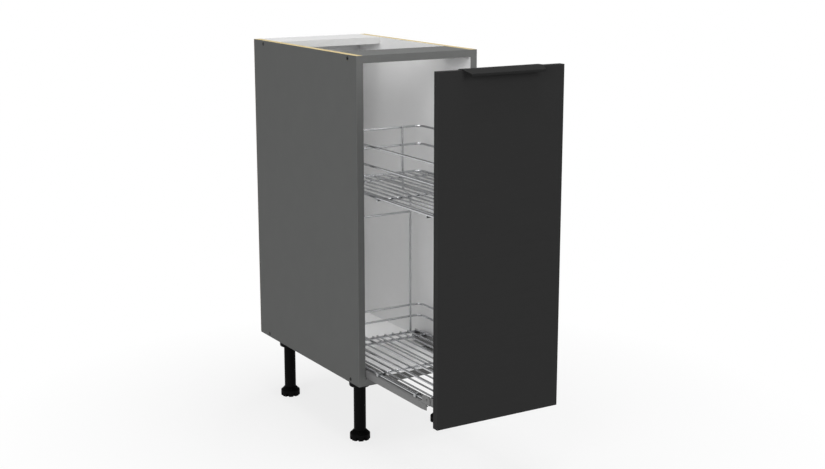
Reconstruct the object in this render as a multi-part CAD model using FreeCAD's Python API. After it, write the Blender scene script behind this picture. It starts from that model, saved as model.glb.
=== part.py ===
import FreeCAD, Part
import os
from math import cos, radians, sin, sqrt, tan

# Pull-out base cabinet, in millimetres. X runs across, +Y to the back, +Z up from the floor.

# Boards of the carcass
cabinet_width = 300
carcass_height = 720
side_depth = 497
board = 16
top_rail_depth = 104
back_thickness = 3
back_inset = 1
band_thickness = 0.8

# Carcass screws, one pair to each top rail and to the bottom panel
carcass_screw_front = 39
carcass_screw_rear_inset = 49
carcass_screw_length = 50
carcass_screw_radius = 2.2
carcass_screw_shoulder_radius = 3.2
carcass_screw_head_radius = 4.6
carcass_screw_head_height = 3
carcass_screw_socket_radius = 2
carcass_screw_socket_depth = 2
hex_sides = 6

# Screws of the back panel
back_screw_inset = 9
back_screw_end_inset = 60
back_screw_rows = 4
back_screw_radius = 1.3
back_screw_length = 18
back_screw_head_radius = 3
back_screw_head_height = 1.2

# Legs
leg_height = 150
leg_inset_x = 42.75
leg_front = 75
leg_rear_inset = 70
leg_tube_radius = 13.75
leg_tube_wall = 3
socket_radius = 23.5
socket_height = 10
socket_spigot_length = 20
socket_edge_radius = 3
foot_radius = 23
foot_side_height = 15
foot_shoulder_height = 7.6
foot_shoulder_radius = 14.5
foot_notches = 8
foot_notch_width = 5.5
foot_notch_depth = 6
foot_notch_height = 8
stem_radius = 8
stem_length = 45
stem_groove_depth = 0.8
stem_groove_width = 1.6
stem_groove_pitch = 4
leg_neck_length = 25
leg_screws_per_socket = 4
leg_screw_circle_radius = 18.8
leg_screw_radius = 1.6
leg_screw_length = 17
leg_screw_head_radius = 3.2
leg_screw_head_height = 2

# Front panel and its place
front_side_margin = 2
front_bottom_margin = 1.5
front_top_margin = 4.5
front_thickness = 16
closing_gap = 2
rest_opening = 297.3

# Handle on the top edge of the front
handle_length = 188
handle_sheet = 2
handle_flange_height = 22
handle_reach = 22
handle_drop = 6.5
handle_lip_height = 3.5
handle_end_taper = 7
handle_screw_end_inset = 14
handle_screw_count = 3
handle_screw_radius = 1.5
handle_screw_length = 14
handle_screw_head_radius = 3.2
handle_screw_head_height = 1.2

# Baskets: centre lines of the wires
basket_side_gap = 9
basket_front_gap = 13.3
basket_back_gap = 6
basket_corner_radius = 18
rail_wire_radius = 2.5
frame_wire_radius = 3
floor_wire_radius = 2
cross_wire_radius = 2.5
upright_wire_radius = 2.5
floor_rods_per_side = 6
floor_rod_side_inset = 14
floor_rod_middle_gap = 12
cross_rods = 3
cross_rod_front_inset = 49
cross_rod_rear_inset = 36
cross_rod_overhang = 2
lower_mid_rail_rise = 39.5
lower_top_rail_rise = 67.5
basket_spacing = 387.5
upper_mid_rail_rise = 64
upper_top_rail_rise = 105.5

# Uprights that carry the upper basket, each beside a floor rod counted from the middle
upright_foot_drop = 2
upright_top_rise = 4.6
rear_upright_low_rod = 5
rear_upright_high_rod = 4
rear_jog_below_frame = 35.9
rear_jog_height = 21.1
rear_jog_radius = 8
rear_crossbar_below_jog = 36
front_upright_rod = 4

# Carriage that is fixed to the bottom panel and holds two rollers
rail_sheet = 1.2
rail_front = 5
rail_length = 135
rail_side_gap = 2.5
rail_shelf_gap = 1.2
rail_foot_width = 14
rail_flange_width = 17
rail_flange_end_gap = 2
rail_screw_inset = 7
rail_screw_front = 20
rail_screw_rear = 15
rail_screw_radius = 1.7
rail_screw_length = 12
rail_screw_head_radius = 3.5
rail_screw_head_height = 2.2
front_roller_y = 16
rear_roller_y = 98.8
roller_side_gap = 1.8
roller_width = 8
roller_pin_radius = 2
roller_pin_head_radius = 3.4
roller_pin_head_height = 1.2

# Runner that moves with the front: a folded channel closed at the top by a shelf
slide_sheet = 1.5
slide_side_gap = 1.5
slide_bottom_gap = 1.5
slide_height = 17.4
slide_shelf_width = 27
slide_lip_width = 19
slide_flange_height = 13.4
slide_tab_height = 16.1
slide_tab_length = 30
slide_lower_setback = 50.5
slide_upper_setback = 37.3
slide_shelf_setback = 9.3
slide_end_radius = 8
end_stop_length = 9.7
end_stop_side_gap = 0.8
end_stop_peg_radius = 2.5

# Saddle clips that hold the lower basket on the moving runners
clip_length = 8
clip_height = 7.6
clip_width = 13
clip_front_setback = 99.3
clip_rear_inset = 90
clips_per_side = 3
clip_rivet_inset = 1.4
clip_rivet_radius = 1

# Brackets between the moving runners and the front
bracket_sheet = 2
bracket_height = 39
bracket_width = 26
bracket_arm_length = 64
bracket_end_radius = 8
bracket_rivet_setback = 49.5
bracket_rivet_rise = 8.6
bracket_rivet_radius = 1.8
bracket_rivet_head_radius = 3
bracket_rivet_head_height = 1
bracket_screw_side_inset = 10
bracket_screw_end_inset = 9

# Brackets between the front uprights and the front
clasp_plate_width = 34
clasp_plate_height = 50
clasp_rise = 8.5
clasp_block_width = 16
clasp_block_height = 18
clasp_block_rise = 16
clasp_block_wall = 4
clasp_screw_inset = 7
front_screw_radius = 1.7
front_screw_length = 13
front_screw_head_radius = 3.4
front_screw_head_height = 2

# Clearances and the overrun of every cut
running_clearance = 0.3
fastener_clearance = 0.3
weld_gap = 0.1
thread_clearance = 0.4
cut_overrun = 1

# Places across the cabinet that follow from the sizes above
sides = {"left": -1, "right": 1}
half_width = cabinet_width / 2
half_inside = half_width - board
leg_x = half_width - leg_inset_x
tube_bore_radius = leg_tube_radius - leg_tube_wall
front_half = half_width - front_side_margin
slide_outer_x = half_inside - slide_side_gap
slide_web_x = slide_outer_x - slide_sheet
slide_shelf_x = slide_web_x - slide_shelf_width
slide_lip_x = slide_web_x - slide_lip_width
rail_web_x = slide_shelf_x + slide_sheet + rail_side_gap
rail_foot_x = rail_web_x - rail_foot_width
rail_flange_x = rail_web_x + rail_flange_width
rail_screw_x = rail_web_x - rail_screw_inset
roller_inner_x = rail_web_x + rail_sheet + roller_side_gap
basket_half = half_inside - basket_side_gap
floor_rod_first_x = floor_rod_middle_gap / 2
floor_rod_last_x = basket_half - floor_rod_side_inset
floor_rod_pitch = (floor_rod_last_x - floor_rod_first_x) / (floor_rods_per_side - 1)
upright_beside_rod = floor_rod_first_x + floor_wire_radius + upright_wire_radius + weld_gap
front_upright_x = upright_beside_rod + (front_upright_rod - 1) * floor_rod_pitch
rear_upright_low_x = upright_beside_rod + (rear_upright_low_rod - 1) * floor_rod_pitch
rear_upright_high_x = upright_beside_rod + (rear_upright_high_rod - 1) * floor_rod_pitch
clip_inner_x = slide_web_x - clip_width
clip_rivet_x = clip_inner_x + clip_rivet_inset
bracket_flange_x = slide_web_x - bracket_width
bracket_screw_x = bracket_flange_x + bracket_screw_side_inset

# Places from front to back
reach = rest_opening + closing_gap + front_thickness + handle_reach
carcass_front = (reach - side_depth - back_thickness) / 2
board_front = carcass_front + band_thickness
carcass_back = carcass_front + side_depth
leg_ys = {"front": carcass_front + leg_front, "rear": carcass_back - leg_rear_inset}
front_back_face = carcass_front - closing_gap - rest_opening
front_face = front_back_face - front_thickness
basket_length = side_depth + closing_gap - basket_front_gap - basket_back_gap
basket_front = front_back_face + basket_front_gap
basket_rear = basket_front + basket_length
front_upright_y = basket_front + frame_wire_radius + upright_wire_radius + weld_gap
rear_upright_y = basket_rear - frame_wire_radius - upright_wire_radius - weld_gap
slide_rear_y = basket_rear + frame_wire_radius
rail_front_y = carcass_front + rail_front
rail_rear_y = rail_front_y + rail_length
roller_ys = {"front": carcass_front + front_roller_y, "rear": carcass_front + rear_roller_y}

# Heights
carcass_bottom = leg_height
carcass_top = carcass_bottom + carcass_height
floor_top = carcass_bottom + board
rail_bottom = carcass_top - board
tube_bottom = foot_side_height + foot_shoulder_height
front_bottom = carcass_bottom + front_bottom_margin
front_top = carcass_top - front_top_margin
slide_bottom = floor_top + slide_bottom_gap
slide_lip_top = slide_bottom + slide_sheet
slide_shelf_top = slide_bottom + slide_height
slide_shelf_bottom = slide_shelf_top - slide_sheet
slide_web_top = slide_shelf_top + slide_tab_height
rail_top = slide_shelf_bottom - rail_shelf_gap
roller_z = (slide_lip_top + slide_shelf_bottom) / 2
roller_radius = (slide_shelf_bottom - slide_lip_top) / 2 - running_clearance
lower_frame_height = slide_shelf_top + weld_gap + frame_wire_radius
lower_mid_rail_height = lower_frame_height + lower_mid_rail_rise
lower_top_rail_height = lower_frame_height + lower_top_rail_rise
upper_frame_height = lower_frame_height + basket_spacing
upper_mid_rail_height = upper_frame_height + upper_mid_rail_rise
upper_top_rail_height = upper_frame_height + upper_top_rail_rise
upper_cross_height = upper_frame_height - frame_wire_radius - cross_wire_radius - weld_gap
upright_foot = lower_frame_height - upright_foot_drop
upright_top = upper_top_rail_height + upright_top_rise
rear_jog_end = upper_frame_height - rear_jog_below_frame
rear_jog_start = rear_jog_end - rear_jog_height
rear_crossbar_height = rear_jog_start - rear_crossbar_below_jog
bracket_rivet_height = slide_shelf_top + bracket_rivet_rise
bracket_top = slide_shelf_bottom + bracket_height
clasp_bottom = upper_frame_height + clasp_rise
clasp_top = clasp_bottom + clasp_plate_height
clasp_block_bottom = clasp_bottom + clasp_block_rise
clasp_block_top = clasp_block_bottom + clasp_block_height


def vec(x, y, z):
    return FreeCAD.Vector(x, y, z)


def box(x0, x1, y0, y1, z0, z1):
    """A block between two corners, whichever way round the X limits come."""
    low, high = min(x0, x1), max(x0, x1)
    return Part.makeBox(high - low, y1 - y0, z1 - z0, vec(low, y0, z0))


def pin(start, axis, radius, length):
    """A cylinder from a point along an axis."""
    return Part.makeCylinder(radius, length, start, axis)


def join(shapes):
    """One solid from shapes that share faces or overlap."""
    return shapes[0].multiFuse(shapes[1:]).removeSplitter()


def corner_arc(before, corner, after, bend):
    """The arc of radius bend that rounds one corner of a path."""
    back = (before - corner).normalize()
    onward = (after - corner).normalize()
    half_angle = back.getAngle(onward) / 2
    run = bend / tan(half_angle)
    inward = (back + onward).normalize()
    peak = corner + inward * (bend / sin(half_angle) - bend)
    return Part.Arc(corner + back * run, peak, corner + onward * run).toShape()


def bent_wire(points, bend, radius):
    """A round wire along a path of points, with every inner corner bent to a radius."""
    corners = range(1, len(points) - 1)
    arcs = [corner_arc(points[i - 1], points[i], points[i + 1], bend) for i in corners]
    edges = []
    reached = points[0]
    for arc in arcs:
        edges += [Part.makeLine(reached, arc.firstVertex().Point), arc]
        reached = arc.lastVertex().Point
    edges.append(Part.makeLine(reached, points[-1]))
    ring = Part.Wire(Part.makeCircle(radius, points[0], points[1] - points[0]))
    return Part.Wire(edges).makePipeShell([ring], True, True)


def wire_loop(height, radius):
    """A closed basket wire: a rectangle with bent corners, butt welded at mid side."""
    halves = []
    for side in sides.values():
        path = [
            vec(0, basket_front, height),
            vec(side * basket_half, basket_front, height),
            vec(side * basket_half, basket_rear, height),
            vec(0, basket_rear, height),
        ]
        halves.append(bent_wire(path, basket_corner_radius, radius))
    return join(halves)


def carcass_screw_places():
    """Head points and inward axes of the screws through the side panels."""
    ys = (carcass_front + carcass_screw_front, carcass_back - carcass_screw_rear_inset)
    zs = (carcass_bottom + board / 2, carcass_top - board / 2)
    return [(vec(s * half_width, y, z), vec(-s, 0, 0)) for s in sides.values() for y in ys for z in zs]


def carcass_screw(start, axis, gap):
    """A shouldered board screw; a gap makes the hole that takes it."""
    head = pin(start, axis, carcass_screw_head_radius + gap, carcass_screw_head_height)
    shoulder = pin(start, axis, carcass_screw_shoulder_radius + gap, board)
    shank = pin(start, axis, carcass_screw_radius + gap, carcass_screw_length)
    return join([head, shoulder, shank])


def carcass_screws():
    screws = []
    for start, axis in carcass_screw_places():
        corner = [start + vec(0, 1, 0).multiply(carcass_screw_socket_radius * cos(a)) +
                  vec(0, 0, 1).multiply(carcass_screw_socket_radius * sin(a))
                  for a in [radians(360 * n / hex_sides) for n in range(hex_sides + 1)]]
        socket = Part.Face(Part.makePolygon(corner)).extrude(axis * carcass_screw_socket_depth)
        screws.append(carcass_screw(start, axis, 0).cut(socket))
    return Part.Compound(screws)


def drill_carcass(shape):
    """Takes the screw holes out of a board."""
    holes = [carcass_screw(p, a, fastener_clearance) for p, a in carcass_screw_places()]
    return shape.cut(Part.Compound(holes))


def back_screw_places():
    """Head points of the screws through the back panel."""
    low, high = carcass_bottom + back_screw_end_inset, carcass_top - back_screw_end_inset
    step = (high - low) / (back_screw_rows - 1)
    edge = half_width - back_screw_inset
    rear = carcass_back + back_thickness
    places = [vec(s * edge, rear, low + n * step) for s in sides.values() for n in range(back_screw_rows)]
    return places + [vec(0, rear, carcass_bottom + board / 2), vec(0, rear, carcass_top - board / 2)]


def back_screw(start, gap):
    axis = vec(0, -1, 0)
    head = pin(start, axis, back_screw_head_radius + gap, back_screw_head_height)
    return join([head, pin(start, axis, back_screw_radius + gap, back_screw_length)])


def back_screws():
    return Part.Compound([back_screw(p, 0) for p in back_screw_places()])


def drill_back(shape):
    return shape.cut(Part.Compound([back_screw(p, fastener_clearance) for p in back_screw_places()]))


def side_panel(side):
    blank = box(side * half_inside, side * half_width, board_front, carcass_back, carcass_bottom, carcass_top)
    return drill_back(drill_carcass(blank))


def bottom_panel():
    blank = box(-half_inside, half_inside, board_front, carcass_back, carcass_bottom, floor_top)
    holes = [leg_screw(p, fastener_clearance) for p in leg_screw_places()]
    holes += [rail_screw(p, fastener_clearance) for p in rail_screw_places()]
    return drill_back(drill_carcass(blank)).cut(Part.Compound(holes))


def front_top_rail():
    rear = carcass_front + top_rail_depth
    return drill_carcass(box(-half_inside, half_inside, board_front, rear, rail_bottom, carcass_top))


def rear_top_rail():
    front = carcass_back - top_rail_depth + band_thickness
    blank = box(-half_inside, half_inside, front, carcass_back, rail_bottom, carcass_top)
    return drill_back(drill_carcass(blank))


def back_panel():
    edge = half_width - back_inset
    low, high = carcass_bottom + back_inset, carcass_top - back_inset
    return drill_back(box(-edge, edge, carcass_back, carcass_back + back_thickness, low, high))


def edge_bands():
    """The bands glued to the front edges of the sides, the bottom and the front rail."""
    bands = [box(s * half_inside, s * half_width, carcass_front, board_front, carcass_bottom, carcass_top)
             for s in sides.values()]
    bands.append(box(-half_inside, half_inside, carcass_front, board_front, carcass_bottom, floor_top))
    bands.append(box(-half_inside, half_inside, carcass_front, board_front, rail_bottom, carcass_top))
    return Part.Compound(bands)


def rear_rail_band():
    """The band on the front edge of the rear rail."""
    front = carcass_back - top_rail_depth
    return box(-half_inside, half_inside, front, front + band_thickness, rail_bottom, carcass_top)


def leg_screw_places():
    """Head points, under the sockets, of the screws that hold the legs."""
    turn = 360 / leg_screws_per_socket
    angles = [radians(turn * n + turn / 2) for n in range(leg_screws_per_socket)]
    z = carcass_bottom - socket_height
    return [vec(s * leg_x + leg_screw_circle_radius * cos(a), y + leg_screw_circle_radius * sin(a), z)
            for s in sides.values() for y in leg_ys.values() for a in angles]


def leg_screw(start, gap):
    axis = vec(0, 0, 1)
    head = pin(start, axis, leg_screw_head_radius + gap, leg_screw_head_height)
    return join([head, pin(start, axis, leg_screw_radius + gap, leg_screw_length)])


def leg_screws():
    return Part.Compound([leg_screw(p, 0) for p in leg_screw_places()])


def leg_socket(side, y):
    """A disc screwed under the bottom panel, with a spigot that the leg tube is pushed over."""
    base = vec(side * leg_x, y, carcass_bottom - socket_height)
    up = vec(0, 0, 1)
    disc = pin(base, up, socket_radius, socket_height)
    rounds = [e for e in disc.Edges if len(e.Vertexes) == 1]
    lower_rim = min(rounds, key=lambda e: e.BoundBox.ZMax)
    disc = disc.makeFillet(socket_edge_radius, [lower_rim])
    spigot_base = base - vec(0, 0, socket_spigot_length)
    spigot = pin(spigot_base, up, tube_bore_radius - running_clearance, socket_spigot_length)
    holes = [leg_screw(p, fastener_clearance) for p in leg_screw_places()]
    return join([disc, spigot]).cut(Part.Compound(holes))


def leg_tube(side, y):
    """A tube from the socket to the foot: open over the spigot, narrow at the neck for the foot's stem."""
    base = vec(side * leg_x, y, tube_bottom)
    up = vec(0, 0, 1)
    top = carcass_bottom - socket_height
    tube = pin(base, up, leg_tube_radius, top - tube_bottom)
    neck = pin(base, up, stem_radius + thread_clearance, leg_neck_length + cut_overrun)
    bore_base = base + vec(0, 0, leg_neck_length)
    bore = pin(bore_base, up, tube_bore_radius, top - bore_base.z + cut_overrun)
    return tube.cut(neck).cut(bore)


def leg_foot(side, y):
    """A turned foot with finger notches and a grooved stem that enters the leg tube."""
    base = vec(side * leg_x, y, 0)
    up = vec(0, 0, 1)
    disc = pin(base, up, foot_radius, foot_side_height)
    shoulder_base = base + vec(0, 0, foot_side_height)
    shoulder = Part.makeCone(foot_radius, foot_shoulder_radius, foot_shoulder_height, shoulder_base, up)
    stem_base = base + vec(0, 0, tube_bottom)
    stem = pin(stem_base, up, stem_radius, stem_length)
    grooves = []
    groove_count = int((stem_length - stem_groove_pitch) / stem_groove_pitch)
    for n in range(1, groove_count + 1):
        at = stem_base + vec(0, 0, n * stem_groove_pitch)
        outer = pin(at, up, stem_radius + cut_overrun, stem_groove_width)
        grooves.append(outer.cut(pin(at, up, stem_radius - stem_groove_depth, stem_groove_width)))
    notch = box(-foot_notch_width / 2, foot_notch_width / 2, foot_radius - foot_notch_depth,
                foot_radius + cut_overrun, -cut_overrun, foot_notch_height)
    notches = []
    for n in range(foot_notches):
        cutter = notch.copy()
        cutter.rotate(vec(0, 0, 0), up, 360 * n / foot_notches)
        cutter.translate(base)
        notches.append(cutter)
    return join([disc, shoulder, stem]).cut(Part.Compound(grooves + notches))


def rail_screw_places():
    """Head points of the screws that hold the fixed runners on the bottom panel."""
    front, rear = rail_front_y + rail_screw_front, rail_rear_y - rail_screw_rear
    ys = (front, (front + rear) / 2, rear)
    z = floor_top + rail_sheet + rail_screw_head_height
    return [vec(s * rail_screw_x, y, z) for s in sides.values() for y in ys]


def rail_screw(start, gap):
    axis = vec(0, 0, -1)
    head = pin(start, axis, rail_screw_head_radius + gap, rail_screw_head_height)
    return join([head, pin(start, axis, rail_screw_radius + gap, rail_screw_length)])


def rail_screws():
    return Part.Compound([rail_screw(p, 0) for p in rail_screw_places()])


def roller_pin(side, y, gap):
    """The pin of a roller, headed on both sides of the roller and the carriage web."""
    axis = vec(side, 0, 0)
    start = vec(side * (rail_web_x - roller_pin_head_height), y, roller_z)
    end_x = roller_inner_x + roller_width + running_clearance
    length = end_x - rail_web_x + 2 * roller_pin_head_height
    head = pin(start, axis, roller_pin_head_radius, roller_pin_head_height)
    tip = pin(vec(side * end_x, y, roller_z), axis, roller_pin_head_radius, roller_pin_head_height)
    shank = pin(start, axis, roller_pin_radius + gap, length)
    return shank if gap else join([head, shank, tip])


def roller_pins():
    return Part.Compound([roller_pin(s, y, 0) for s in sides.values() for y in roller_ys.values()])


def fixed_runner(side):
    """A carriage: a foot to screw down, a web for the roller pins and a flange between the rollers."""
    foot = box(side * rail_foot_x, side * (rail_web_x + rail_sheet), rail_front_y, rail_rear_y,
               floor_top, floor_top + rail_sheet)
    web = box(side * rail_web_x, side * (rail_web_x + rail_sheet), rail_front_y, rail_rear_y,
              floor_top, rail_top)
    room = roller_radius + rail_flange_end_gap
    flange = box(side * rail_web_x, side * rail_flange_x, roller_ys["front"] + room,
                 roller_ys["rear"] - room, rail_top - rail_sheet, rail_top)
    holes = [roller_pin(side, y, fastener_clearance) for y in roller_ys.values()]
    holes += [rail_screw(p, fastener_clearance) for p in rail_screw_places()]
    return join([foot, web, flange]).cut(Part.Compound(holes))


def roller(side, y):
    """A wheel bored to turn on its pin, between the lip and the shelf of the moving runner."""
    start, axis = vec(side * roller_inner_x, y, roller_z), vec(side, 0, 0)
    bore = pin(start, axis, roller_pin_radius + running_clearance, roller_width)
    return pin(start, axis, roller_radius, roller_width).cut(bore)


def moving_runner(side):
    """A folded channel: web, shelf under the basket, inner flange, lower lip and a tab for the bracket."""
    web_limits = (side * slide_web_x, side * slide_outer_x)
    lower_front = front_back_face + slide_lower_setback
    upper_front = front_back_face + slide_upper_setback
    tab_rear = upper_front + slide_tab_length
    web = box(*web_limits, lower_front, slide_rear_y, slide_bottom, slide_shelf_top)
    tie = box(*web_limits, upper_front, slide_rear_y, slide_shelf_bottom, slide_shelf_top)
    tab = box(*web_limits, upper_front, tab_rear, slide_shelf_top, slide_web_top)
    shelf = box(side * slide_shelf_x, side * slide_web_x, front_back_face + slide_shelf_setback, slide_rear_y,
                slide_shelf_bottom, slide_shelf_top)
    flange = box(side * slide_shelf_x, side * (slide_shelf_x + slide_sheet), lower_front, slide_rear_y,
                 slide_shelf_top - slide_flange_height, slide_shelf_top)
    lip = box(side * slide_lip_x, side * slide_web_x, lower_front, slide_rear_y, slide_bottom, slide_lip_top)
    runner = join([web, tie, tab, shelf, flange, lip])
    tab_corners = [e for e in runner.Edges if abs(e.Length - slide_sheet) < weld_gap
                   and e.CenterOfMass.z > slide_web_top - weld_gap]
    runner = runner.makeFillet(slide_end_radius, tab_corners)
    cutters = [end_stop_peg(side, fastener_clearance), bracket_rivet(side, fastener_clearance)]
    cutters += [clip_rivet(side, y, fastener_clearance) for y in clip_ys()]
    return runner.cut(Part.Compound(cutters))


def end_stop_peg(side, gap):
    """The round peg that holds an end stop in the web of its runner."""
    start = vec(side * slide_web_x, slide_rear_y - end_stop_length / 2, roller_z)
    return pin(start, vec(side, 0, 0), end_stop_peg_radius + gap, slide_sheet)


def end_stops():
    """Blocks in the rear ends of the moving runners that meet the rear rollers when fully out."""
    stops = []
    inner_x = rail_web_x + rail_sheet + end_stop_side_gap
    for side in sides.values():
        block = box(side * inner_x, side * slide_web_x, slide_rear_y - end_stop_length, slide_rear_y,
                    slide_lip_top, slide_shelf_bottom)
        stops.append(join([block, end_stop_peg(side, 0)]))
    return Part.Compound(stops)


def clip_ys():
    """Centres of the saddle clips along a moving runner."""
    first = front_back_face + clip_front_setback
    pitch = (slide_rear_y - clip_rear_inset - first) / (clips_per_side - 1)
    return [first + n * pitch for n in range(clips_per_side)]


def clip_rivet(side, y, gap):
    start = vec(side * clip_rivet_x, y, slide_shelf_bottom)
    return pin(start, vec(0, 0, 1), clip_rivet_radius + gap, slide_sheet + clip_height)


def clip_rivets():
    return Part.Compound([clip_rivet(s, y, 0) for s in sides.values() for y in clip_ys()])


def saddle_clips():
    """Blocks that sit on the shelves and wrap the sides of the lower basket frame."""
    clips = []
    for side in sides.values():
        for y in clip_ys():
            y0, y1 = y - clip_length / 2, y + clip_length / 2
            z0, z1 = slide_shelf_top, slide_shelf_top + clip_height
            block = box(side * clip_inner_x, side * slide_web_x, y0, y1, z0, z1)
            hole = pin(vec(side * basket_half, y0, lower_frame_height), vec(0, 1, 0),
                       frame_wire_radius + fastener_clearance, clip_length)
            under = box(side * (basket_half - frame_wire_radius), side * (basket_half + frame_wire_radius),
                        y0, y1, z0, lower_frame_height - frame_wire_radius + fastener_clearance)
            clips.append(block.cut(Part.Compound([hole, under, clip_rivet(side, y, fastener_clearance)])))
    return Part.Compound(clips)


def bracket_rivet(side, gap):
    """A rivet through the arm of a lower bracket and the web of its runner."""
    y = front_back_face + bracket_rivet_setback
    inner_x = slide_web_x - bracket_sheet
    start = vec(side * inner_x, y, bracket_rivet_height)
    shank = pin(start, vec(side, 0, 0), bracket_rivet_radius + gap, bracket_sheet + slide_sheet)
    head_start = start - vec(side * bracket_rivet_head_height, 0, 0)
    head = pin(head_start, vec(side, 0, 0), bracket_rivet_head_radius, bracket_rivet_head_height)
    return shank if gap else join([shank, head])


def bracket_rivets():
    return Part.Compound([bracket_rivet(s, 0) for s in sides.values()])


def front_screw_places():
    """Head points of the screws that enter the back of the front panel."""
    head_y = front_back_face + bracket_sheet + front_screw_head_height
    zs = (slide_shelf_bottom + bracket_screw_end_inset, bracket_top - bracket_screw_end_inset)
    lower = [vec(s * bracket_screw_x, head_y, z) for s in sides.values() for z in zs]
    zs = (clasp_bottom + clasp_screw_inset, clasp_top - clasp_screw_inset)
    upper = [vec(s * front_upright_x, head_y, z) for s in sides.values() for z in zs]
    return lower + upper


def front_screw(start, gap):
    axis = vec(0, -1, 0)
    head = pin(start, axis, front_screw_head_radius, front_screw_head_height)
    shank = pin(start, axis, front_screw_radius + gap, front_screw_length)
    return shank if gap else join([head, shank])


def front_screws():
    return Part.Compound([front_screw(p, 0) for p in front_screw_places()])


def lower_bracket(side):
    """A bent plate: an arm inside the runner web and a flange on the back of the front."""
    outer_x, inner_x = side * slide_web_x, side * (slide_web_x - bracket_sheet)
    arm = box(outer_x, inner_x, front_back_face, front_back_face + bracket_arm_length,
              slide_shelf_top, slide_web_top)
    ends = [e for e in arm.Edges if abs(e.Length - bracket_sheet) < weld_gap
            and e.CenterOfMass.y > front_back_face + bracket_arm_length / 2]
    arm = arm.makeFillet(bracket_end_radius, ends)
    flange = box(outer_x, side * bracket_flange_x, front_back_face, front_back_face + bracket_sheet,
                 slide_shelf_bottom, bracket_top)
    holes = [bracket_rivet(side, fastener_clearance)]
    holes += [front_screw(p, fastener_clearance) for p in front_screw_places()]
    return join([arm, flange]).cut(Part.Compound(holes))


def upper_bracket(side):
    """A plate on the back of the front with a block that clasps the front upright."""
    x = side * front_upright_x
    plate = box(x - clasp_plate_width / 2, x + clasp_plate_width / 2, front_back_face,
                front_back_face + bracket_sheet, clasp_bottom, clasp_top)
    block_rear = front_upright_y + upright_wire_radius + clasp_block_wall
    block = box(x - clasp_block_width / 2, x + clasp_block_width / 2, front_back_face, block_rear,
                clasp_block_bottom, clasp_block_top)
    bore = pin(vec(x, front_upright_y, clasp_block_bottom), vec(0, 0, 1),
               upright_wire_radius + weld_gap, clasp_block_top - clasp_block_bottom)
    holes = [front_screw(p, fastener_clearance) for p in front_screw_places()]
    return join([plate, block]).cut(Part.Compound([bore] + holes))


def handle_screw_places():
    """Head points of the screws through the flange of the handle."""
    first = handle_screw_end_inset - handle_length / 2
    step = -2 * first / (handle_screw_count - 1)
    z = front_top - handle_flange_height / 2
    return [vec(first + n * step, front_back_face, z) for n in range(handle_screw_count)]


def handle_screw(start, gap):
    axis = vec(0, -1, 0)
    head = pin(start, axis, handle_screw_head_radius + gap, handle_screw_head_height)
    return join([head, pin(start, axis, handle_screw_radius + gap, handle_screw_length)])


def handle_screws():
    return Part.Compound([handle_screw(p, 0) for p in handle_screw_places()])


def handle():
    """A folded plate: a flange let into the back of the front, a cover and a lip to pull on."""
    half = handle_length / 2
    back, face, tip = front_back_face, front_face, front_face - handle_reach
    top, low = front_top + handle_sheet, front_top - handle_flange_height
    lip_top = top - handle_drop
    lip_low = lip_top - handle_sheet - handle_lip_height
    outline = [
        (back, low), (back, top), (face, top), (tip, lip_top), (tip, lip_low),
        (tip + handle_sheet, lip_low), (tip + handle_sheet, lip_top - handle_sheet), (face, front_top),
        (back - handle_sheet, front_top), (back - handle_sheet, low), (back, low),
    ]
    profile = Part.Face(Part.makePolygon([vec(-half, y, z) for y, z in outline]))
    blank = profile.extrude(vec(handle_length, 0, 0))
    tapers = []
    for side in sides.values():
        corners = [
            vec(side * half, face, lip_low - cut_overrun),
            vec(side * (half + cut_overrun), face, lip_low - cut_overrun),
            vec(side * (half + cut_overrun), tip - cut_overrun, lip_low - cut_overrun),
            vec(side * (half - handle_end_taper), tip - cut_overrun, lip_low - cut_overrun),
            vec(side * half, face, lip_low - cut_overrun),
        ]
        wedge = Part.Face(Part.makePolygon(corners))
        tapers.append(wedge.extrude(vec(0, 0, top - lip_low + cut_overrun + cut_overrun)))
    holes = [handle_screw(p, fastener_clearance) for p in handle_screw_places()]
    return blank.cut(Part.Compound(tapers + holes))


def front_panel():
    blank = box(-front_half, front_half, front_face, front_back_face, front_bottom, front_top)
    rebate_half = handle_length / 2 + fastener_clearance
    rebate = box(-rebate_half, rebate_half, front_back_face - handle_sheet, front_back_face + cut_overrun,
                 front_top - handle_flange_height - fastener_clearance, front_top + cut_overrun)
    holes = [handle_screw(p, fastener_clearance) for p in handle_screw_places()]
    holes += [front_screw(p, fastener_clearance) for p in front_screw_places()]
    return blank.cut(Part.Compound([rebate] + holes))


def cross_rod_ys():
    """Places of the cross rods, evenly spread between the first and the last."""
    first = basket_front + cross_rod_front_inset
    pitch = (basket_rear - cross_rod_rear_inset - first) / (cross_rods - 1)
    return [first + n * pitch for n in range(cross_rods)]


def floor_xs():
    """Places of the floor rods: two even groups with a narrow gap in the middle."""
    places = [floor_rod_first_x + n * floor_rod_pitch for n in range(floor_rods_per_side)]
    return [s * x for s in sides.values() for x in places]


def lower_cross_rods():
    """Rods between the sides of the lower frame."""
    reach_x = basket_half - frame_wire_radius - weld_gap
    starts = [vec(-reach_x, y, lower_frame_height) for y in cross_rod_ys()]
    return Part.Compound([pin(p, vec(1, 0, 0), frame_wire_radius, 2 * reach_x) for p in starts])


def upper_cross_rods():
    """Rods under the upper frame whose ends show below its sides."""
    reach_x = basket_half + cross_rod_overhang
    starts = [vec(-reach_x, y, upper_cross_height) for y in cross_rod_ys()]
    return Part.Compound([pin(p, vec(1, 0, 0), cross_wire_radius, 2 * reach_x) for p in starts])


def lower_floor_rods():
    """Rods that lie on the frame and the cross rods of the lower basket."""
    z = lower_frame_height + frame_wire_radius + floor_wire_radius + weld_gap
    starts = [vec(x, basket_front, z) for x in floor_xs()]
    return Part.Compound([pin(p, vec(0, 1, 0), floor_wire_radius, basket_length) for p in starts])


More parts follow.
